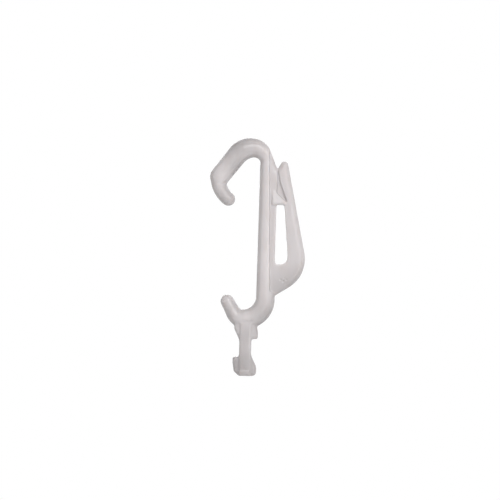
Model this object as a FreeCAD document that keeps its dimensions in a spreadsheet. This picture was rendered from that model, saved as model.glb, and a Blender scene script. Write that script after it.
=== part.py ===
import FreeCAD, Part
import Sketcher
import math
import os

# Curtain hook, moulded in one piece.
# A round rod makes the open crown, the stem and the cradle. A flat web beside the stem
# carries a spring arm with a latch, and a point-symmetric foot stands below the cradle.
# Origin: the inside top of the crown, where the hook bears on what it hangs from.
# X runs from the hook's mouth towards the spring arm, Y is the depth, Z is up.

document = FreeCAD.newDocument("curtain_hook")
sheet = document.addObject("Spreadsheet::Sheet", "size")

sizes = {
    # rod
    "stem_radius": 1.769,
    "stem_length": 25.25,
    "crown_shoulder_radius": 1.66,
    "crown_radius": 1.854,
    "crown_bend_radius": 3.178,
    "arm_top_radius": 1.915,
    "arm_radius": 1.865,
    "arm_bend_radius": 3.78,
    "arm_turn": 142.7,
    "arm_length": 5.23,
    "tip_start_radius": 1.45,
    "tip_radius": 1.31,
    "tip_inset": 0.30,
    "tip_bend_radius": 5.237,
    "tip_turn": 53.1,
    # cradle and its finger
    "saddle_radius": 1.925,
    "cradle_radius": 1.92,
    "cradle_bend_radius": 3.953,
    "finger_bend_radius": 2.33,
    "finger_turn": 59.5,
    "finger_length": 2.45,
    "finger_middle_radius": 1.45,
    "finger_end_radius": 1.28,
    # relief along the stem and round the shoulder of the crown
    "shoulder_radius": 4.40,
    "shoulder_inset": 0.53,
    "shoulder_rise": 0.605,
    "shoulder_turn": 36.5,
    "shoulder_start": 92,
    "crease_offset": 0.746,
    "crease_rise": 1.438,
    "crease_slope": 30,
    # web and spring arm
    "web_thickness": 2.10,
    "web_edge": 1.542,
    "mouth_depth": 2.09,
    "mouth_open": 0.52,
    "root_rise": 0.586,
    "root_slope": 32.8,
    "root_bend_radius": 6.20,
    "arm_lean": 12.1,
    "arm_top": 0.57,
    "arm_top_reach": 3.418,
    "arm_top_width": 1.03,
    "arm_tip_radius": 0.72,
    "arm_mouth_radius": 0.58,
    "arm_edge_radius": 0.55,
    # slot
    "slot_top": 8.805,
    "slot_rise": 6.545,
    "slot_top_width": 1.485,
    "slot_bottom_width": 2.55,
    "slot_corner_radius": 0.30,
    "slot_heel_radius": 0.55,
    "slot_root_radius": 1.40,
    # latch
    "latch_clearance": 0.16,
    "lip_plane": 0.55,
    "notch_shoulder_width": 0.66,
    "notch_shoulder_drop": 2.65,
    "notch_width": 1.90,
    "notch_height": 0.865,
    "barb_end_height": 0.60,
    "barb_root_height": 2.15,
    "barb_crest_height": 2.93,
    "barb_base_offset": 0.716,
    "barb_raise": 0.34,
    "barb_seat": 0.26,
    "lip_overlap": 0.36,
    # foot
    "foot_shift": 0.44,
    "foot_inlet": 0.17,
    "foot_height": 10.56,
    "waist_width": 2.27,
    "waist_depth": 3.40,
    "waist_bevel": 0.24,
    "lug_depth": 2.70,
    "ledge_height": 1.71,
    "ledge_reach": 2.31,
    "ledge_side": 1.135,
    "heel_inset": 0.28,
    "heel_height": 0.80,
    "sole_inset": 1.12,
    "toe_reach": 2.19,
    "toe_height": 1.70,
    "flare_start": 1.45,
    "flare_radius": 2.60,
    "toe_radius": 0.80,
    "ledge_radius": 0.38,
    "ledge_edge_radius": 0.30,
}

for row, (alias, value) in enumerate(sizes.items(), start=1):
    sheet.set(f"A{row}", alias)
    sheet.set(f"B{row}", str(value))
    sheet.setAlias(f"B{row}", alias)
document.recompute()

body = document.addObject("PartDesign::Body", "curtain_hook")
body.Label = "curtain_hook"


def originPlane(role):
    for feature in body.Origin.OriginFeatures:
        if feature.Role == role:
            return feature
    raise RuntimeError(f"no plane {role}")


def attach(feature, role, offset):
    """Sit a feature on one of the body's own planes and move it by three expressions."""
    feature.AttachmentSupport = [(originPlane(role), "")]
    feature.MapMode = "FlatFace"
    for axis, expression in zip("xyz", offset):
        feature.setExpression(f"AttachmentOffset.Base.{axis}", expression)


def attachSquare(feature, place, turn):
    """Sit a feature square to the rod at one place, turned about Y as the rod's line has turned."""
    feature.AttachmentOffset = FreeCAD.Placement(FreeCAD.Vector(), FreeCAD.Vector(1, 0, 0), 45)
    attach(feature, "YZ_Plane", ("0", place[1], place[0]))
    feature.setExpression("AttachmentOffset.Rotation.Angle", turn)
    document.recompute()


def newSketch(name, role, offset=("0", "0", "0")):
    sketch = body.newObject("Sketcher::SketchObject", name)
    attach(sketch, role, offset)
    return sketch


def crossSection(name, radius, place, turn="0"):
    section = body.newObject("Sketcher::SketchObject", name)
    attachSquare(section, place, turn)
    drawCircle(section, radius)
    return section


def bind(sketch, kind, references, expression):
    """Add one constraint and tie it to the sheet."""
    value = sketch.evalExpression(expression)
    number = sketch.addConstraint(Sketcher.Constraint(kind, *references, value))
    sketch.setExpression(f"Constraints[{number}]", expression)


def pinPoint(sketch, edge, end, place):
    bind(sketch, "DistanceX", (-1, 1, edge, end), place[0])
    bind(sketch, "DistanceY", (-1, 1, edge, end), place[1])


def placeOf(sketch, place):
    return FreeCAD.Vector(sketch.evalExpression(place[0]), sketch.evalExpression(place[1]), 0)


def drawPolygon(sketch, corners):
    """A closed outline of straight lines, each corner bound to the sheet."""
    points = [placeOf(sketch, corner) for corner in corners]
    first = sketch.GeometryCount
    for index, point in enumerate(points):
        sketch.addGeometry(Part.LineSegment(point, points[(index + 1) % len(points)]))
    for index, corner in enumerate(corners):
        after = first + (index + 1) % len(points)
        sketch.addConstraint(Sketcher.Constraint("Coincident", first + index, 2, after, 1))
        pinPoint(sketch, first + index, 1, corner)


def drawCircle(sketch, radius):
    circle = sketch.addGeometry(Part.Circle(FreeCAD.Vector(), FreeCAD.Vector(0, 0, 1), 1))
    sketch.addConstraint(Sketcher.Constraint("Coincident", circle, 3, -1, 1))
    bind(sketch, "Radius", (circle,), radius)


def drawArc(sketch, centre, radius, start, end):
    """An arc, counter-clockwise from start to end in degrees."""
    middle = placeOf(sketch, centre)
    circle = Part.Circle(middle, FreeCAD.Vector(0, 0, 1), sketch.evalExpression(radius))
    angles = [math.radians(sketch.evalExpression(text)) for text in (start, end)]
    arc = sketch.addGeometry(Part.ArcOfCircle(circle, *angles))
    pinPoint(sketch, arc, 3, centre)
    bind(sketch, "DistanceX", (arc, 3, arc, 1), f"{radius} * cos({start})")
    bind(sketch, "DistanceY", (arc, 3, arc, 1), f"{radius} * sin({start})")
    if abs(math.cos(angles[1])) > abs(math.sin(angles[1])):
        bind(sketch, "DistanceY", (arc, 3, arc, 2), f"{radius} * sin({end})")
    else:
        bind(sketch, "DistanceX", (arc, 3, arc, 2), f"{radius} * cos({end})")
    return arc


def drawLine(sketch, start, end):
    line = sketch.addGeometry(Part.LineSegment(placeOf(sketch, start), placeOf(sketch, end)))
    pinPoint(sketch, line, 1, start)
    pinPoint(sketch, line, 2, end)
    return line


def pad(name, sketch, depth):
    feature = body.newObject("PartDesign::Pad", name)
    feature.Profile = (sketch, [""])
    feature.SideType = "Symmetric"
    feature.setExpression("Length", depth)
    document.recompute()
    return feature


def pocket(name, sketch, depth):
    """A cut, half of its depth on each side of the sketch; the volume has to fall."""
    before = body.Shape.Volume
    feature = body.newObject("PartDesign::Pocket", name)
    feature.Profile = (sketch, [""])
    feature.SideType = "Symmetric"
    feature.setExpression("Length", depth)
    document.recompute()
    if body.Shape.Volume >= before:
        raise RuntimeError(f"{name} cuts nothing")
    return feature


def pipe(name, profile, spine, *laterSections):
    feature = body.newObject("PartDesign::AdditivePipe", name)
    feature.Profile = (profile, [""])
    feature.Spine = (spine, [""])
    if laterSections:
        feature.Transformation = "Multisection"
        feature.Sections = [(section, [""]) for section in laterSections]
    document.recompute()
    return feature


def ball(name, radius, place, turn):
    feature = body.newObject("PartDesign::AdditiveSphere", name)
    feature.setExpression("Radius", radius)
    attachSquare(feature, place, turn)
    return feature


def depthEdges(sketch, corner):
    """Names of the straight edges along Y at one corner of a sketch on the XZ plane."""
    place = sketch.Placement.multVec(placeOf(sketch, corner))
    found = []
    for number, edge in enumerate(body.Shape.Edges, start=1):
        ends = [vertex.Point for vertex in edge.Vertexes]
        if len(ends) < 2:
            continue
        if all(math.hypot(point.x - place.x, point.z - place.z) < 1e-4 for point in ends):
            found.append(f"Edge{number}")
    return found


def dressEdges(kind, name, edges, field, value):
    if not edges:
        raise RuntimeError(f"{name} finds no edge")
    base = body.Tip
    feature = body.newObject(f"PartDesign::{kind}", name)
    feature.Base = (base, edges)
    feature.setExpression(field, value)
    document.recompute()
    return feature


def fillet(name, edges, radius):
    return dressEdges("Fillet", name, edges, "Radius", radius)


def chamfer(name, edges, size):
    return dressEdges("Chamfer", name, edges, "Size", size)


def roundCorners(name, sketch, corners, radius):
    """Round the upright edges at these corners of an outline."""
    edges = []
    for corner in corners:
        edges += depthEdges(sketch, corner)
    return fillet(name, edges, radius)


def rimEdges(corner, depth):
    """Names of the edges in the planes y = depth / 2 and y = -depth / 2 nearest to one place."""
    found = []
    for side in (-0.5, 0.5):
        place = Part.Vertex(corner.x, side * depth, corner.y)
        near = []
        for number, edge in enumerate(body.Shape.Edges, start=1):
            box = edge.BoundBox
            if max(abs(box.YMin - side * depth), abs(box.YMax - side * depth)) < 1e-4:
                near.append((edge.distToShape(place)[0], number))
        found.append(f"Edge{min(near)[1]}")
    return found


# places used more than once, as expressions of the sheet
stemX = "size.crown_bend_radius"
crownZ = "(size.crown_radius - size.crown_bend_radius)"
armBendZ = "(size.crown_radius - size.arm_bend_radius)"
armStart = (
    "size.arm_bend_radius * cos(size.arm_turn)",
    f"{armBendZ} + size.arm_bend_radius * sin(size.arm_turn)",
)
elbowX = f"({armStart[0]} - size.arm_length * sin(size.arm_turn))"
elbowZ = f"({armStart[1]} + size.arm_length * cos(size.arm_turn))"
cradleX = f"({stemX} - size.cradle_bend_radius)"
cradleZ = f"({crownZ} - size.stem_length)"
saddleZ = f"({cradleZ} - size.cradle_bend_radius)"

# stem
stemBottom = crossSection("stem_bottom_section", "size.stem_radius", (stemX, cradleZ), "-90")
stemPath = newSketch("stem_path", "XZ_Plane")
drawLine(stemPath, (stemX, cradleZ), (stemX, crownZ))
pipe("stem", stemBottom, stemPath)

# crown: over the top the rod grows from the stem's section to the arm's
crownStart = crossSection("crown_start_section", "size.stem_radius", (stemX, crownZ), "-90")
shoulderSection = crossSection(
    "crown_shoulder_section",
    "size.crown_shoulder_radius",
    (f"{stemX} * cos(45)", f"{crownZ} + {stemX} * sin(45)"),
    "-135",
)
crownTop = crossSection("crown_top_section", "size.crown_radius", ("0", "size.crown_radius"), "-180")
crownEnd = crossSection("crown_end_section", "size.arm_top_radius", armStart, "-90 - size.arm_turn")
crownPath = newSketch("crown_path", "XZ_Plane")
drawArc(crownPath, ("0", crownZ), "size.crown_bend_radius", "0", "90")
drawArc(crownPath, ("0", armBendZ), "size.arm_bend_radius", "90", "size.arm_turn")
pipe("crown", crownStart, crownPath, shoulderSection, crownTop, crownEnd)

# arm: slants down from the crown to the elbow
armPath = newSketch("arm_path", "XZ_Plane")
drawLine(armPath, armStart, (elbowX, elbowZ))
armEnd = crossSection("arm_end_section", "size.arm_radius", (elbowX, elbowZ), "-90 - size.arm_turn")
pipe("arm", crownEnd, armPath, armEnd)
ball("elbow", "size.arm_radius", (elbowX, elbowZ), "-90 - size.arm_turn")

# tip of the hook: thinner, curling in below the elbow
tipX = f"({elbowX} - size.tip_inset)"
tipEnd = (
    f"{tipX} + size.tip_bend_radius * (1 - cos(size.tip_turn))",
    f"{elbowZ} - size.tip_bend_radius * sin(size.tip_turn)",
)
tipStartSection = crossSection(
    "tip_start_section", "size.tip_start_radius", (tipX, elbowZ), "90")
tipEndSection = crossSection("tip_end_section", "size.tip_radius", tipEnd, "90 - size.tip_turn")
tipPath = newSketch("tip_path", "XZ_Plane")
tipCentre = (f"{tipX} + size.tip_bend_radius", elbowZ)
drawArc(tipPath, tipCentre, "size.tip_bend_radius", "-180", "-180 + size.tip_turn")
pipe("tip", tipStartSection, tipPath, tipEndSection)
ball("tip_end", "size.tip_radius", tipEnd, "90 - size.tip_turn")

# cradle: below the stem the rod grows round to its lowest point
saddle = crossSection("saddle_section", "size.saddle_radius", (cradleX, saddleZ))
cradlePath = newSketch("cradle_path", "XZ_Plane")
drawArc(cradlePath, (cradleX, cradleZ), "size.cradle_bend_radius", "-90", "0")
cradleMiddle = crossSection(
    "cradle_middle_section",
    "size.cradle_radius",
    (f"{cradleX} + size.cradle_bend_radius * sin(45)", f"{cradleZ} - size.cradle_bend_radius * cos(45)"),
    "-45",
)
pipe("cradle", saddle, cradlePath, cradleMiddle, stemBottom)

# finger: tapers round from the lowest point, then runs straight to its blunt end
fingerBendZ = f"({saddleZ} + size.finger_bend_radius)"
fingerStart = (
    f"{cradleX} - size.finger_bend_radius * sin(size.finger_turn)",
    f"{fingerBendZ} - size.finger_bend_radius * cos(size.finger_turn)",
)
fingerEnd = (
    f"{fingerStart[0]} - size.finger_length * cos(size.finger_turn)",
    f"{fingerStart[1]} + size.finger_length * sin(size.finger_turn)",
)
fingerMiddle = crossSection(
    "finger_middle_section", "size.finger_middle_radius", fingerStart, "size.finger_turn")
fingerTop = crossSection("finger_top_section", "size.finger_end_radius", fingerEnd, "size.finger_turn")
fingerPath = newSketch("finger_path", "XZ_Plane")
drawLine(fingerPath, fingerEnd, fingerStart)
drawArc(fingerPath, (cradleX, fingerBendZ), "size.finger_bend_radius", "-90 - size.finger_turn", "-90")
pipe("finger", fingerTop, fingerPath, fingerMiddle, saddle)
ball("finger_end", "size.finger_end_radius", fingerEnd, "size.finger_turn")

# relief: the rod's right side is cut back to a web, from the shoulder down to the root
shoulderX = "(-size.shoulder_inset)"
shoulderZ = f"({crownZ} + size.shoulder_rise)"
creaseTop = (
    f"{shoulderX} + size.shoulder_radius * cos(size.shoulder_turn)",
    f"{shoulderZ} + size.shoulder_radius * sin(size.shoulder_turn)",
)
creaseBottom = (f"{stemX} + size.crease_offset", f"{cradleZ} + size.crease_rise")
farX = f"({stemX} + 2 * size.stem_radius)"
farTop = "(2 * size.crown_radius + size.stem_radius)"
shoulderEndX = f"{shoulderX} + size.shoulder_radius * cos(size.shoulder_start)"
relief = newSketch("relief_outline", "XZ_Plane")
reliefCorners = [
    creaseTop,
    creaseBottom,
    (farX, f"{creaseBottom[1]} - (2 * size.stem_radius - size.crease_offset) * tan(size.crease_slope)"),
    (farX, farTop),
    (shoulderEndX, farTop),
    (shoulderEndX, f"{shoulderZ} + size.shoulder_radius * sin(size.shoulder_start)"),
]
for start, end in zip(reliefCorners, reliefCorners[1:]):
    drawLine(relief, start, end)
drawArc(relief, (shoulderX, shoulderZ), "size.shoulder_radius", "size.shoulder_turn", "size.shoulder_start")
pocket("relief", relief, "4 * size.stem_radius")

# web, root and spring arm
webX = f"({stemX} + size.web_edge)"
mouth = (webX, "-size.mouth_depth")
armOuterTop = (f"{stemX} + size.arm_top_reach", "-size.arm_top")
armInnerTop = (f"{armOuterTop[0]} - size.arm_top_width", "-size.arm_top")
rootStartZ = f"({cradleZ} + size.root_rise)"
rootZ = (
    f"(({rootStartZ} + tan(size.root_slope) * (size.arm_top_reach - size.stem_radius"
    " - size.arm_top * tan(size.arm_lean))) / (1 + tan(size.root_slope) * tan(size.arm_lean)))"
)
rootCorner = (f"{armOuterTop[0]} - (size.arm_top + {rootZ}) * tan(size.arm_lean)", rootZ)
web = newSketch("web_outline", "XZ_Plane")
drawPolygon(web, [
    (stemX, f"{rootStartZ} - size.stem_radius * tan(size.root_slope)"),
    rootCorner,
    armOuterTop,
    armInnerTop,
    mouth,
    creaseTop,
    (f"{stemX} - size.stem_radius / 2", crownZ),
])
pad("web", web, "size.web_thickness")
roundCorners("root_bend", web, [rootCorner], "size.root_bend_radius")
roundCorners("arm_tip", web, [armOuterTop], "size.arm_tip_radius")
roundCorners("arm_mouth", web, [armInnerTop], "size.arm_mouth_radius")

# slot between web and arm
slotTop = "-size.slot_top"
slotBottom = f"({cradleZ} + size.slot_rise)"
slotCorners = [
    (webX, slotTop),
    (f"{webX} + size.slot_top_width", slotTop),
    (f"{webX} + size.slot_bottom_width", slotBottom),
    (webX, slotBottom),
]
slot = newSketch("slot_outline", "XZ_Plane")
drawPolygon(slot, slotCorners)
pocket("slot", slot, "2 * size.web_thickness")
roundCorners("slot_corner", slot, [slotCorners[0]], "size.slot_corner_radius")
roundCorners("slot_heel", slot, [slotCorners[3]], "size.slot_heel_radius")
roundCorners("slot_root", slot, [slotCorners[2]], "size.slot_root_radius")

# soft rim round the arm's outer edge
armEdges = rimEdges(placeOf(web, armOuterTop), web.evalExpression("size.web_thickness"))
fillet("arm_rim", armEdges, "size.arm_edge_radius")

# latch: the barb stands on the web's front layer, the arm's lip reaches behind it, and a thin
# split between the two leaves the arm free to spring
halfWeb = "(size.web_thickness / 2)"
gap = "size.latch_clearance"
recessDepth = f"(size.web_thickness - size.lip_plane + {gap} / 2)"
recessCentre = f"((size.web_thickness + size.lip_plane - {gap} / 2) / 2)"
slitDepth = f"(size.web_thickness + size.lip_plane + {gap} / 2)"
slitCentre = f"((size.lip_plane + {gap} / 2 - size.web_thickness) / 2)"
openZ = "(size.mouth_open - size.mouth_depth)"
notchShoulder = (
    f"{webX} + size.notch_shoulder_width",
    "-size.mouth_depth - size.notch_shoulder_drop",
)
notchX = f"({webX} + size.notch_width)"
notchZ = f"({slotTop} + size.notch_height)"
notchFloorZ = f"({slotTop} - {gap})"
barbEndX = f"({notchX} - {gap})"
inSlotX = f"({webX} + size.slot_top_width / 2)"
notchWall = [
    (f"{webX} + {gap}", openZ),
    (f"{webX} + {gap}", "-size.mouth_depth"),
    notchShoulder,
    (notchX, notchZ),
    (notchX, notchFloorZ),
]
barbEnd = [
    (inSlotX, notchFloorZ),
    (inSlotX, slotTop),
    (barbEndX, slotTop),
    (barbEndX, f"{slotTop} + size.barb_end_height"),
    (webX, f"{slotTop} + size.barb_root_height"),
    (webX, openZ),
]
recess = newSketch("recess_outline", "XZ_Plane", ("0", "0", recessCentre))
drawPolygon(recess, notchWall + barbEnd)
pocket("recess", recess, recessDepth)
lipX = f"({webX} - size.lip_overlap)"
slitX = f"({lipX} - {gap})"
slitTop = f"({openZ} + size.mouth_depth)"
split = newSketch("split_outline", "XZ_Plane", ("0", "0", "size.lip_plane"))
drawPolygon(split, [(slitX, slitTop), (f"{webX} + {gap}", slitTop)] + notchWall[1:] + [(slitX, notchFloorZ)])
pocket("split", split, gap)
slit = newSketch("slit_outline", "XZ_Plane", ("0", "0", slitCentre))
drawPolygon(slit, [
    (slitX, slitTop),
    (lipX, slitTop),
    (lipX, slotTop),
    (inSlotX, slotTop),
    (inSlotX, notchFloorZ),
    (slitX, notchFloorZ),
])
pocket("slit", slit, slitDepth)

# the barb's face rises from its crest towards the slot, as a ramp
barbBaseX = f"({stemX} + size.barb_base_offset)"
crestZ = f"({slotTop} + size.barb_crest_height)"
barbDepth = "(size.barb_raise + size.barb_seat)"
barb = newSketch("barb_outline", "XZ_Plane", ("0", "0", f"{halfWeb} + size.barb_raise - {barbDepth} / 2"))
drawPolygon(barb, [
    (barbBaseX, slotTop),
    (barbEndX, slotTop),
    (barbEndX, f"{slotTop} + size.barb_end_height"),
    (barbBaseX, crestZ),
])
pad("barb", barb, barbDepth)
ramp = newSketch("ramp_outline", "YZ_Plane", ("0", "0", f"({barbBaseX} + {barbEndX}) / 2"))
drawPolygon(ramp, [
    (f"-{halfWeb}", crestZ),
    (f"-{halfWeb} - size.barb_raise", slotTop),
    (f"-{halfWeb} - 2 * size.barb_raise", slotTop),
    (f"-{halfWeb} - 2 * size.barb_raise", crestZ),
])
pocket("ramp", ramp, f"{barbEndX} - {barbBaseX}")

# foot: a deep waist with one heel and toe, and the same again half a turn round
footX = f"({cradleX} + size.foot_shift)"
footZ = f"({saddleZ} - size.foot_inlet - size.foot_height / 2)"
halfWaist = "size.waist_width / 2"
halfFoot = "size.foot_height / 2"
waist = newSketch("waist_outline", "XZ_Plane", (footX, footZ, "0"))
waistCorners = [
    (f"-{halfWaist}", f"-{halfFoot}"),
    (halfWaist, f"-{halfFoot}"),
    (halfWaist, halfFoot),
    (f"-{halfWaist}", halfFoot),
]
drawPolygon(waist, waistCorners)
pad("waist", waist, "size.waist_depth")
waistSides = []
for corner in ((f"-{halfWaist}", "0"), (halfWaist, "0"), ("0", f"-{halfFoot}")):
    place = waist.Placement.multVec(placeOf(waist, corner))
    depth = waist.evalExpression("size.waist_depth")
    waistSides += rimEdges(FreeCAD.Vector(place.x, place.z, 0), depth)
chamfer("waist_bevel", waistSides, "size.waist_bevel")

ledge = (f"-{halfWaist}", "-size.ledge_height")
heel = ("-size.ledge_reach + size.heel_inset", f"-{halfFoot} + size.heel_height")
sole = ("-size.sole_inset", f"-{halfFoot}")
toe = ("size.toe_reach", f"-{halfFoot}")
toeTop = ("size.toe_reach", f"-{halfFoot} + size.toe_height")
flare = (halfWaist, "-size.flare_start")
lug = newSketch("lug_outline", "XZ_Plane", (footX, footZ, "0"))
drawPolygon(lug, [
    (f"-{halfWaist}", "0"),
    ledge,
    ("-size.ledge_reach", "-size.ledge_height"),
    ("-size.ledge_reach", "-size.ledge_height - size.ledge_side"),
    heel,
    sole,
    toe,
    toeTop,
    flare,
    (halfWaist, "0"),
])
lugPad = pad("lug", lug, "size.lug_depth")
turned = body.newObject("PartDesign::PolarPattern", "turned_lug")
turned.Originals = [lugPad]
turned.Axis = (lug, ["N_Axis"])
turned.Angle = 360
turned.Occurrences = 2
body.Tip = turned
document.recompute()


def halfTurn(corner):
    return f"-({corner[0]})", f"-({corner[1]})"


roundCorners("flare", lug, [flare, halfTurn(flare)], "size.flare_radius")
roundCorners("ledge_root", lug, [ledge, halfTurn(ledge)], "size.ledge_radius")
roundCorners("toe", lug, [toe, toeTop], "size.toe_radius")
ledgeEdge = ("-size.ledge_reach", "-size.ledge_height")
roundCorners("ledge_edge", lug, [ledgeEdge, halfTurn(ledgeEdge)], "size.ledge_edge_radius")

for item in document.Objects:
    if "Invalid" in item.State or "Error" in item.State:
        raise RuntimeError(f"{item.Name}: {item.State}")
if body.Shape.isNull() or not body.Shape.isValid():
    raise RuntimeError("curtain_hook has no valid shape")
os.makedirs("parts", exist_ok=True)
body.Shape.exportStep("parts/curtain_hook.step")
print("solids", len(body.Shape.Solids), "volume", body.Shape.Volume, body.Shape.BoundBox)
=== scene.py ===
import bpy
import math
from mathutils import Euler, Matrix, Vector
from mathutils.kdtree import KDTree


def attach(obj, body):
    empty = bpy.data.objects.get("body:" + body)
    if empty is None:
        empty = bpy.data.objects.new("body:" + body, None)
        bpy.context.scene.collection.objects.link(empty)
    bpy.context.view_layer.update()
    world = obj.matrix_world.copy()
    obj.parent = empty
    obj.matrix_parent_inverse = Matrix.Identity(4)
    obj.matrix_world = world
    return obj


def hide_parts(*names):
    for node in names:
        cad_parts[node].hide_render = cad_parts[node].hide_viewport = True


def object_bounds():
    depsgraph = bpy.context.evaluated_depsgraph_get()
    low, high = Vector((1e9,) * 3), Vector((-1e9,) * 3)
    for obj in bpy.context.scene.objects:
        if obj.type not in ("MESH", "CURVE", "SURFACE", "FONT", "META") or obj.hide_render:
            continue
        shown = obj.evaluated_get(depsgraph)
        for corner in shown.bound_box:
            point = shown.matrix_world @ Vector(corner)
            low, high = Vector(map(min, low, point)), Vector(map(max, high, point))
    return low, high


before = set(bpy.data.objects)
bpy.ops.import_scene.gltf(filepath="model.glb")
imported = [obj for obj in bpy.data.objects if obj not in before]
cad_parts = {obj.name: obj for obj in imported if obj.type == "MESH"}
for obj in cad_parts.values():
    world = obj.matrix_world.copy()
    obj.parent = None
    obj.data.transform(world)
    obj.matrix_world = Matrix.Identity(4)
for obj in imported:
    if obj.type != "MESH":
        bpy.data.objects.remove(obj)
cadBox = [list(corner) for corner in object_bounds()]
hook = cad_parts["curtain_hook"]
print("frame loaded")

# camera: square to the hook's face, rolled as the photograph is
cameraSettings = {
    "distance": 0.36,
    "frameWidth": 0.0946,       # what the picture spans at the hook
    "imageSize": 500,
    "crownPixel": (252.94, 157.59),  # where the inside top of the crown falls in the photograph
    "roll": 1.8,                # degrees, the stem leans by this much
    "sensor": 36.0,
}


def addCamera(settings):
    camera = bpy.data.objects.new("camera", bpy.data.cameras.new("camera"))
    bpy.context.collection.objects.link(camera)
    camera.data.sensor_width = settings["sensor"]
    camera.data.lens = settings["sensor"] * settings["distance"] / settings["frameWidth"]
    pixel = settings["frameWidth"] / settings["imageSize"]
    middle = settings["imageSize"] / 2
    roll = math.radians(settings["roll"])
    # from the crown's pixel to the middle of the picture, turned back into the hook's frame
    right = (middle - settings["crownPixel"][0]) * pixel
    up = (settings["crownPixel"][1] - middle) * pixel
    x = right * math.cos(roll) - up * math.sin(roll)
    z = right * math.sin(roll) + up * math.cos(roll)
    camera.location = (x, -settings["distance"], z)
    camera.rotation_euler = Euler((math.radians(90), -roll, 0), "XYZ")
    bpy.context.scene.camera = camera


addCamera(cameraSettings)
print("camera set")

# the moulding: the CAD solid's own shape, with the soft edges that a mould leaves. The gap behind
# the latch's barb is hardly wider than a voxel, so it closes here: web and arm are joined along
# the latch, and only the open groove in front of it is left
moulding = {
    "voxel": 0.00011,
    "softening": 5,         # passes over the whole piece, each rounds the edges a little more
    "blending": 70,         # passes where two runs of the rod meet
    "passStrength": 0.5,
    "leastWeight": 0.01,    # where less of the blending than this would reach, there is none
    "faces": 95000,
}

# where runs of the rod meet, and its two ends, how far and how strongly they are smoothed:
# x, z, reach, strength
meetings = {
    "elbow": (-0.0061, -0.0042, 0.0021, 1),
    "saddle": (-0.0012, -0.0292, 0.0017, 1),
    "finger": (-0.0058, -0.0264, 0.0042, 0.35),
    "tip": (-0.0055, -0.0076, 0.0034, 0.3),
    "cradle": (0.0004, -0.0286, 0.0046, 0.3),
}

# flat faces whose edges fall away: levels are distances from the middle plane, the face lies
# at half, and its edge falls by drop over the last reach before a wall
roundings = {
    "web": {"levels": (0, 0.00112), "half": 0.00105, "reach": 0.0010, "drop": 0.00078},
    "lugs": {"levels": (0, 0.00139), "half": 0.00135, "reach": 0.0006, "drop": 0.0004},
    "waist": {"levels": (0.00139, 0.00182), "half": 0.0017, "reach": 0.00045, "drop": 0.00035},
}

# heights and sides that tell the outer walls of the web and the arm from those of slot and latch
webWalls = {
    "crownTop": 0.0005,
    "crownBottom": -0.0022,
    "crownSide": 0.0040,
    "latchBottom": -0.0085,
    "latchSide": 0.0066,    # beside the latch the outer walls lie further out than this
    "slotBottom": -0.0215,
    "slotSide": 0.0072,     # and beside the slot further out than this
    "rootBottom": -0.0242,
    "rootSide": 0.0036,
    "outwards": 0.2,        # how far an outer wall's normal points away from the stem
}

foot = {
    "top": -0.0312,
    "flatTop": -0.03074,    # from here down the foot's flat face cuts into the cradle's rod
    "flatWidth": (-0.0016, 0.0013),
    "faceDepth": 0.0001,    # what lies this near to the flat face belongs to it
    "padHeight": 0.00105,
    "padRise": 0.00009,
}
barbEdge = {"slotTop": -0.008805, "side": 0.0034, "reach": 0.00045, "half": 0.00139, "drop": 0.00055}

# the gate's marks in the root of the web, small pits: x, z, radius, depth
gateMarks = [
    (0.00592, -0.02292, 0.00022, 0.00010),
    (0.00645, -0.02318, 0.00026, 0.00013),
    (0.00702, -0.02286, 0.00018, 0.00008),
    (0.00664, -0.02262, 0.00014, 0.00006),
]


# the piece's modifiers go into its mesh
def settled(piece):
    graph = bpy.context.evaluated_depsgraph_get()
    mesh = bpy.data.meshes.new_from_object(piece.evaluated_get(graph))
    piece.modifiers.clear()
    piece.data = mesh


# one closed skin of small, even faces
def fused(piece, voxel):
    fuse = piece.modifiers.new("fuse", "REMESH")
    fuse.mode = "VOXEL"
    fuse.voxel_size = voxel
    settled(piece)


# the walls round the web and the arm, without those of the slot and the latch
def isWebWall(place, normal):
    if place.z > webWalls["crownBottom"]:
        return place.x > webWalls["crownSide"] and place.z < webWalls["crownTop"]
    side = webWalls["rootSide"]
    if place.z > webWalls["slotBottom"]:
        side = webWalls["latchSide"] if place.z > webWalls["latchBottom"] else webWalls["slotSide"]
    elif place.z <= webWalls["rootBottom"]:
        return False
    return place.x > side and normal.x > webWalls["outwards"]


def isFootWall(place, normal):
    return place.z < foot["top"]


# how far a face falls at a share of the reach away from its edge, as a quarter of a round
def roundFall(drop, away):
    return drop * (1 - math.sqrt(1 - (1 - away) ** 2))


# a vertex is on a wall where its normal points less than this to the front or the back
wallFacing = 0.5


def roundFace(piece, values, isWall):
    lowest, highest = values["levels"]
    inLevels = [vertex for vertex in piece.data.vertices if lowest <= abs(vertex.co.y) < highest]
    upright = [vertex for vertex in inLevels if abs(vertex.normal.y) < wallFacing]
    walls = [vertex.co for vertex in upright if isWall(vertex.co, vertex.normal)]
    tree = KDTree(len(walls))
    for index, place in enumerate(walls):
        tree.insert((place.x, 0, place.z), index)
    tree.balance()
    for vertex in inLevels:
        away = tree.find((vertex.co.x, 0, vertex.co.z))[2] / values["reach"]
        if away < 1:
            cap = values["half"] - roundFall(values["drop"], away)
            vertex.co.y = max(min(vertex.co.y, cap), -cap)


# the foot's face runs up into the rod, and its lowest part stands a little proud
def shapeFoot(piece, values):
    sole = min(vertex.co.z for vertex in piece.data.vertices)
    half = roundings["waist"]["half"]
    left, right = values["flatWidth"]
    for vertex in piece.data.vertices:
        place = vertex.co
        if place.z < values["flatTop"] and left < place.x < right:
            if place.z < sole + values["padHeight"] and abs(place.y) > half - values["faceDepth"]:
                place.y *= 1 + values["padRise"] / half
            else:
                place.y = max(min(place.y, half), -half)


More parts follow.
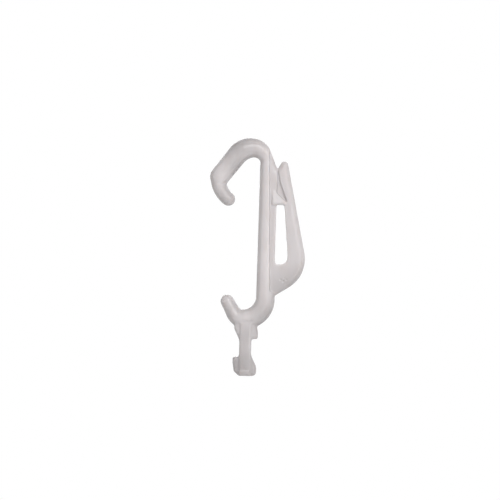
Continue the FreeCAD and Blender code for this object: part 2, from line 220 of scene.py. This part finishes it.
# the barb's lower edge rolls over into the slot
def rollBarb(piece, values):
    for vertex in piece.data.vertices:
        place = vertex.co
        away = (place.z - values["slotTop"]) / values["reach"]
        if place.y < 0 and place.x > values["side"] and 0 <= away < 1:
            place.y = max(place.y, roundFall(values["drop"], away) - values["half"])


def pressGateMarks(piece, marks):
    for vertex in piece.data.vertices:
        for x, z, radius, depth in marks:
            away = math.hypot(vertex.co.x - x, vertex.co.z - z) / radius
            if away < 1 and vertex.co.y < 0:
                vertex.co.y += depth * (1 - away ** 2)


def addSmoothing(piece, name, strength, passes):
    smooth = piece.modifiers.new(name, "SMOOTH")
    smooth.factor = strength
    smooth.iterations = passes
    return smooth


def blendMeetings(piece, places, settings):
    group = piece.vertex_groups.new(name="meetings")
    for vertex in piece.data.vertices:
        weight = 0
        for x, z, reach, strength in places.values():
            away = math.hypot(vertex.co.x - x, vertex.co.z - z) / reach
            # nearly all of the strength up to half the reach, a third at the reach, then none
            weight = max(weight, strength * math.exp(-away ** 4))
        if weight > settings["leastWeight"]:
            group.add([vertex.index], weight, "REPLACE")
    blend = addSmoothing(piece, "blend", settings["passStrength"], settings["blending"])
    blend.vertex_group = "meetings"


def mouldHook(settings):
    piece = bpy.data.objects.new("mouldedHook", hook.data.copy())
    bpy.context.collection.objects.link(piece)
    fused(piece, settings["voxel"])
    roundFace(piece, roundings["web"], isWebWall)
    roundFace(piece, roundings["lugs"], isFootWall)
    roundFace(piece, roundings["waist"], isFootWall)
    shapeFoot(piece, foot)
    rollBarb(piece, barbEdge)
    fused(piece, settings["voxel"])
    blendMeetings(piece, meetings, settings)
    addSmoothing(piece, "soften", settings["passStrength"], settings["softening"])
    settled(piece)
    pressGateMarks(piece, gateMarks)
    print("remeshed:", len(piece.data.polygons), "faces")
    thin = piece.modifiers.new("thin", "DECIMATE")
    thin.ratio = min(settings["faces"] / len(piece.data.polygons), 1)
    settled(piece)
    for polygon in piece.data.polygons:
        polygon.use_smooth = True
    print("moulded hook:", len(piece.data.polygons), "faces")
    return piece


mouldedHook = mouldHook(moulding)
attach(mouldedHook, "root")
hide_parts("curtain_hook")

# moulded plastic: off-white, slightly see-through, with the faint unevenness of a small moulding, and
# with painted shade and painted light in its colour
plastic = {
    "body": (0.656, 0.622, 0.625),
    "shade": (0.628, 0.585, 0.584),
    "roughness": 0.23,
    "roughnessSpread": (0.85, 1.2),
    "refraction": 1.49,
    "specular": 0.35,
    "scatterRadius": (0.0005, 0.00045, 0.0004),
    "scatterWeight": 0.6,
    "cloudScale": 700,              # patches about 1.4 mm across
    "cloudStretch": (1, 1, 0.3),    # and longer up and down, as the plastic flowed along the stem
    "cloudDetail": 3,
    "cloudRamp": (0.35, 0.7),       # noise values between which body goes over into shade
    "roughnessRamp": (0.3, 0.7),    # and smoother plastic into rougher
    "grainScale": 5200,             # grain of about 0.2 mm
    "grainDetail": 2,
    "grainHeight": 0.000002,
    "thickFrom": 0.00112,   # from this far out of the middle plane the plastic is thick
    "thickTo": 0.0015,
    "thinPaintedShade": 0.89,       # how much darker the thin web is painted than the thick rod, painted shade
    "sidePaintedShade": 0.7,        # and how much darker the sideways walls are painted, painted shade that darkens the rims
    "slitPaintedLight": 1.35,      # the walls of the latch's groove are painted lighter instead, painted light over the groove's shade
}

# painted light along the groove between barb and arm, over its shade: x, z, reach sideways, reach up and
# down, and below 0 by how much lighter
slitPaintedLightSpots = [
    (0.0056, -0.0030, 0.0014, 0.0024, -0.95),
    (0.0063, -0.0051, 0.0013, 0.0024, -0.95),
    (0.0070, -0.0072, 0.0013, 0.0022, -0.95),
]

# painted shade, where the moulding is painted a little darker: x, z, reach sideways, reach up and down,
# and by how much
paintedShadeSpots = {
    "crown": (-0.0028, 0.0022, 0.0080, 0.0050, 0.31),
    "arm": (-0.0031, -0.0022, 0.0034, 0.0034, 0.29),
    "elbow": (-0.0070, -0.0040, 0.0030, 0.0034, 0.08),
    "tip": (-0.0052, -0.0076, 0.0036, 0.0036, 0.20),
    "barbBack": (0.0047, -0.0050, 0.0009, 0.0018, 0.09),
    "barb": (0.0050, -0.0078, 0.0018, 0.0018, 0.09),
    "rootRight": (0.0098, -0.0215, 0.0030, 0.0032, 0.08),
    "lug": (0.0022, -0.0329, 0.0013, 0.0022, 0.12),
    "root": (0.0086, -0.0253, 0.0078, 0.0062, 0.30),
    "cradle": (0.0033, -0.0303, 0.0052, 0.0052, 0.31),
    "finger": (-0.0033, -0.0299, 0.0036, 0.0042, 0.19),
    "footTop": (-0.0006, -0.0334, 0.0044, 0.0036, 0.20),
    "foot": (-0.0006, -0.0394, 0.0070, 0.0076, 0.34),
    "heel": (-0.0024, -0.0390, 0.0018, 0.0026, 0.06),
}


def newMaterial(name):
    material = bpy.data.materials.new(name)
    material.use_nodes = True
    material.node_tree.nodes.clear()
    return material, material.node_tree.nodes, material.node_tree.links


def newGroup(name, inputs, outputs):
    group = bpy.data.node_groups.new(name, "ShaderNodeTree")
    for socket, kind in inputs:
        group.interface.new_socket(socket, in_out="INPUT", socket_type=kind)
    for socket, kind in outputs:
        group.interface.new_socket(socket, in_out="OUTPUT", socket_type=kind)
    return group, group.nodes.new("NodeGroupInput"), group.nodes.new("NodeGroupOutput")


def addMath(tree, operation, *values):
    node = tree.nodes.new("ShaderNodeMath")
    node.operation = operation
    for socket, value in zip(node.inputs, values):
        if isinstance(value, (int, float)):
            socket.default_value = value
        else:
            tree.links.new(value, socket)
    return node.outputs[0]


def addRamp(tree, value, fromMin, fromMax, toMin, toMax):
    node = tree.nodes.new("ShaderNodeMapRange")
    node.interpolation_type = "SMOOTHSTEP"
    tree.links.new(value, node.inputs["Value"])
    ends = {"From Min": fromMin, "From Max": fromMax, "To Min": toMin, "To Max": toMax}
    for socket, end in ends.items():
        if isinstance(end, (int, float)):
            node.inputs[socket].default_value = end
        else:
            tree.links.new(end, node.inputs[socket])
    return node.outputs["Result"]


# a soft place of painted shade in the plastic, and of painted light where Strength is below 0: Tone is 1
# outside it and 1 less Strength in its middle
def makePaintedShadeAndLightSpot():
    group, given, result = newGroup("paintedShadeAndLightSpot", [
        ("Place", "NodeSocketVector"), ("Centre", "NodeSocketVector"), ("Reach", "NodeSocketVector"),
        ("Strength", "NodeSocketFloat")], [("Tone", "NodeSocketFloat")])
    links = group.links
    offset = group.nodes.new("ShaderNodeVectorMath")
    offset.operation = "SUBTRACT"
    links.new(given.outputs["Place"], offset.inputs[0])
    links.new(given.outputs["Centre"], offset.inputs[1])
    share = group.nodes.new("ShaderNodeVectorMath")
    share.operation = "DIVIDE"
    links.new(offset.outputs["Vector"], share.inputs[0])
    links.new(given.outputs["Reach"], share.inputs[1])
    away = group.nodes.new("ShaderNodeVectorMath")
    away.operation = "LENGTH"
    links.new(share.outputs["Vector"], away.inputs[0])
    deepest = addMath(group, "SUBTRACT", 1, given.outputs["Strength"])
    links.new(addRamp(group, away.outputs["Value"], 0, 1, deepest, 1), result.inputs["Tone"])
    return group


# how squarely a surface faces front or back, 0 to 1, where the walls' painted shade ends and where the
# thin plastic's painted shade comes in
facingRamps = {"walls": (0, 0.65), "thin": (0.3, 0.8)}


# painted shade: thin plastic and walls that face sideways are painted a little darker than the thick
# rod's faces
def makePaintedShadeTone():
    group, given, result = newGroup("paintedShadeTone", [
        ("Place", "NodeSocketVector"), ("Normal", "NodeSocketVector"),
        ("Thick From", "NodeSocketFloat"), ("Thick To", "NodeSocketFloat"),
        ("Thin Painted Shade", "NodeSocketFloat"), ("Side Painted Shade", "NodeSocketFloat")],
        [("Tone", "NodeSocketFloat")])
    place = group.nodes.new("ShaderNodeSeparateXYZ")
    group.links.new(given.outputs["Place"], place.inputs[0])
    normal = group.nodes.new("ShaderNodeSeparateXYZ")
    group.links.new(given.outputs["Normal"], normal.inputs[0])
    depth = addMath(group, "ABSOLUTE", place.outputs["Y"])
    facing = addMath(group, "ABSOLUTE", normal.outputs["Y"])
    thick = addRamp(group, depth, given.outputs["Thick From"], given.outputs["Thick To"],
                    given.outputs["Thin Painted Shade"], 1)
    side = addRamp(group, facing, *facingRamps["walls"], given.outputs["Side Painted Shade"], 1)
    thin = addRamp(group, facing, *facingRamps["thin"], 1, thick)
    group.links.new(addMath(group, "MULTIPLY", thin, side), result.inputs["Tone"])
    return group


def addSpot(tree, group, place, values):
    x, z, reachX, reachZ, strength = values
    spot = tree.nodes.new("ShaderNodeGroup")
    spot.node_tree = group
    tree.links.new(place, spot.inputs["Place"])
    spot.inputs["Centre"].default_value = (x, 0, z)
    spot.inputs["Reach"].default_value = (reachX, 1, reachZ)
    spot.inputs["Strength"].default_value = strength
    return spot.outputs["Tone"]


def makePlastic(settings, paintedShades, paintedLights):
    material, nodes, links = newMaterial("mouldedPlastic")
    tree = material.node_tree
    output = nodes.new("ShaderNodeOutputMaterial")
    shader = nodes.new("ShaderNodeBsdfPrincipled")
    links.new(shader.outputs["BSDF"], output.inputs["Surface"])
    place = nodes.new("ShaderNodeTexCoord")

    clouds = nodes.new("ShaderNodeTexNoise")
    clouds.inputs["Scale"].default_value = settings["cloudScale"]
    clouds.inputs["Detail"].default_value = settings["cloudDetail"]
    stretch = nodes.new("ShaderNodeVectorMath")
    stretch.operation = "MULTIPLY"
    stretch.inputs[1].default_value = settings["cloudStretch"]
    links.new(place.outputs["Object"], stretch.inputs[0])
    links.new(stretch.outputs["Vector"], clouds.inputs["Vector"])
    blend = nodes.new("ShaderNodeMix")
    blend.data_type = "RGBA"
    blend.inputs["A"].default_value = (*settings["body"], 1)
    blend.inputs["B"].default_value = (*settings["shade"], 1)
    links.new(addRamp(tree, clouds.outputs["Fac"], *settings["cloudRamp"], 0, 1), blend.inputs["Factor"])

    mould = nodes.new("ShaderNodeGroup")
    mould.node_tree = makePaintedShadeTone()
    links.new(place.outputs["Object"], mould.inputs["Place"])
    links.new(place.outputs["Normal"], mould.inputs["Normal"])
    for socket, key in (("Thick From", "thickFrom"), ("Thick To", "thickTo"), ("Thin Painted Shade", "thinPaintedShade")):
        mould.inputs[socket].default_value = settings[key]
    paintedShadeAndLightSpot = makePaintedShadeAndLightSpot()
    # painted shade on the sideways walls, lifted by painted light along the latch's groove
    side = settings["sidePaintedShade"]
    for values in paintedLights:
        side = addMath(tree, "MULTIPLY", side, addSpot(tree, paintedShadeAndLightSpot, place.outputs["Object"], values))
    links.new(addMath(tree, "MINIMUM", side, settings["slitPaintedLight"]), mould.inputs["Side Painted Shade"])
    # painted shade of thin web and walls, then the painted shade spots multiplied over it
    tone = mould.outputs["Tone"]
    for values in paintedShades.values():
        tone = addMath(tree, "MULTIPLY", tone, addSpot(tree, paintedShadeAndLightSpot, place.outputs["Object"], values))
    toned = nodes.new("ShaderNodeVectorMath")
    toned.operation = "SCALE"
    links.new(blend.outputs["Result"], toned.inputs[0])
    links.new(tone, toned.inputs["Scale"])
    links.new(toned.outputs["Vector"], shader.inputs["Base Color"])

    grain = nodes.new("ShaderNodeTexNoise")
    grain.inputs["Scale"].default_value = settings["grainScale"]
    grain.inputs["Detail"].default_value = settings["grainDetail"]
    links.new(place.outputs["Object"], grain.inputs["Vector"])
    bump = nodes.new("ShaderNodeBump")
    bump.inputs["Distance"].default_value = settings["grainHeight"]
    links.new(grain.outputs["Fac"], bump.inputs["Height"])
    links.new(bump.outputs["Normal"], shader.inputs["Normal"])

    smoothest, roughest = (settings["roughness"] * share for share in settings["roughnessSpread"])
    rough = addRamp(tree, clouds.outputs["Fac"], *settings["roughnessRamp"], smoothest, roughest)
    links.new(rough, shader.inputs["Roughness"])
    shader.inputs["IOR"].default_value = settings["refraction"]
    shader.inputs["Specular IOR Level"].default_value = settings["specular"]
    shader.inputs["Subsurface Weight"].default_value = settings["scatterWeight"]
    shader.inputs["Subsurface Radius"].default_value = settings["scatterRadius"]
    shader.inputs["Subsurface Scale"].default_value = 1
    return material


mouldedHook.data.materials.clear()
mouldedHook.data.materials.append(makePlastic(plastic, paintedShadeSpots, slitPaintedLightSpots))
print("plastic made")

# stage: a pale floor some way under the hanging hook, and an even surround
stageSettings = {
    "floorDrop": 0.05,
    "floorSize": 3.0,
    "floorColor": (0.9, 0.9, 0.9),
    "paleTo": 0.07,         # from here out the floor goes over into the white background
    "whiteFrom": 0.14,
    "surroundLight": 0.42,
}


# 1 for rays from the camera, for its reflections and for what shows through, else 0
def seenMask(nodes, links):
    rays = nodes.new("ShaderNodeLightPath")
    mask = rays.outputs["Is Camera Ray"]
    for name in ("Is Glossy Ray", "Is Transmission Ray"):
        both = nodes.new("ShaderNodeMath")
        both.operation = "MAXIMUM"
        links.new(mask, both.inputs[0])
        links.new(rays.outputs[name], both.inputs[1])
        mask = both.outputs[0]
    return mask


def mixShaders(nodes, links, mask, lit, white, output):
    mix = nodes.new("ShaderNodeMixShader")
    links.new(mask, mix.inputs["Fac"])
    links.new(lit.outputs[0], mix.inputs[1])
    links.new(white.outputs[0], mix.inputs[2])
    links.new(mix.outputs["Shader"], output.inputs["Surface"])


def addFloor(settings):
    height = cadBox[0][2] - settings["floorDrop"]
    bpy.ops.mesh.primitive_plane_add(size=settings["floorSize"], location=(0, 0, height))
    floor = bpy.context.object
    floor.name = "floor"
    material, nodes, links = newMaterial("paleFloor")
    lit = nodes.new("ShaderNodeBsdfDiffuse")
    lit.inputs["Color"].default_value = (*settings["floorColor"], 1)
    white = nodes.new("ShaderNodeEmission")
    place = nodes.new("ShaderNodeTexCoord")
    away = nodes.new("ShaderNodeVectorMath")
    away.operation = "LENGTH"
    links.new(place.outputs["Object"], away.inputs[0])
    fade = nodes.new("ShaderNodeMapRange")
    fade.interpolation_type = "SMOOTHSTEP"
    fade.inputs["From Min"].default_value = settings["paleTo"]
    fade.inputs["From Max"].default_value = settings["whiteFrom"]
    links.new(away.outputs["Value"], fade.inputs["Value"])
    mask = nodes.new("ShaderNodeMath")
    mask.operation = "MULTIPLY"
    links.new(seenMask(nodes, links), mask.inputs[0])
    links.new(fade.outputs["Result"], mask.inputs[1])
    mixShaders(nodes, links, mask.outputs[0], lit, white, nodes.new("ShaderNodeOutputMaterial"))
    floor.data.materials.append(material)


def addWorld(settings):
    world = bpy.data.worlds.new("surround")
    world.use_nodes = True
    bpy.context.scene.world = world
    nodes, links = world.node_tree.nodes, world.node_tree.links
    nodes.clear()
    soft = nodes.new("ShaderNodeBackground")
    soft.inputs["Color"].default_value = (1, 1, 1, 1)
    soft.inputs["Strength"].default_value = settings["surroundLight"]
    white = nodes.new("ShaderNodeBackground")
    white.inputs["Color"].default_value = (1, 1, 1, 1)
    mixShaders(nodes, links, seenMask(nodes, links), soft, white, nodes.new("ShaderNodeOutputWorld"))


addFloor(stageSettings)
addWorld(stageSettings)

# lamps: a softbox high in front, a weaker one at its right, a tall strip for the long streaks,
# and one behind for the back
lampSettings = {
    "frontSoftbox": {"place": (0.05, -0.42, 0.19), "size": (0.2, 0.2), "power": 0.78},
    "sideSoftbox": {"place": (0.23, -0.31, 0.05), "size": (0.12, 0.3), "power": 0.24},
    "stripSoftbox": {"place": (0.10, -0.345, 0.03), "size": (0.02, 0.4), "power": 0.31},
    "backSoftbox": {"place": (0.0, 0.46, 0.12), "size": (0.3, 0.3), "power": 0.55},
}


def addLamps(settings):
    middle = Vector((cadBox[0][i] + cadBox[1][i]) / 2 for i in range(3))
    for name, values in settings.items():
        lamp = bpy.data.objects.new(name, bpy.data.lights.new(name, "AREA"))
        bpy.context.collection.objects.link(lamp)
        lamp.data.shape = "RECTANGLE"
        lamp.data.size, lamp.data.size_y = values["size"]
        lamp.data.energy = values["power"]
        lamp.location = values["place"]
        lamp.rotation_euler = (middle - lamp.location).to_track_quat("-Z", "Y").to_euler()


addLamps(lampSettings)
bpy.context.scene.view_settings.view_transform = "Standard"
print("stage and lamps set")
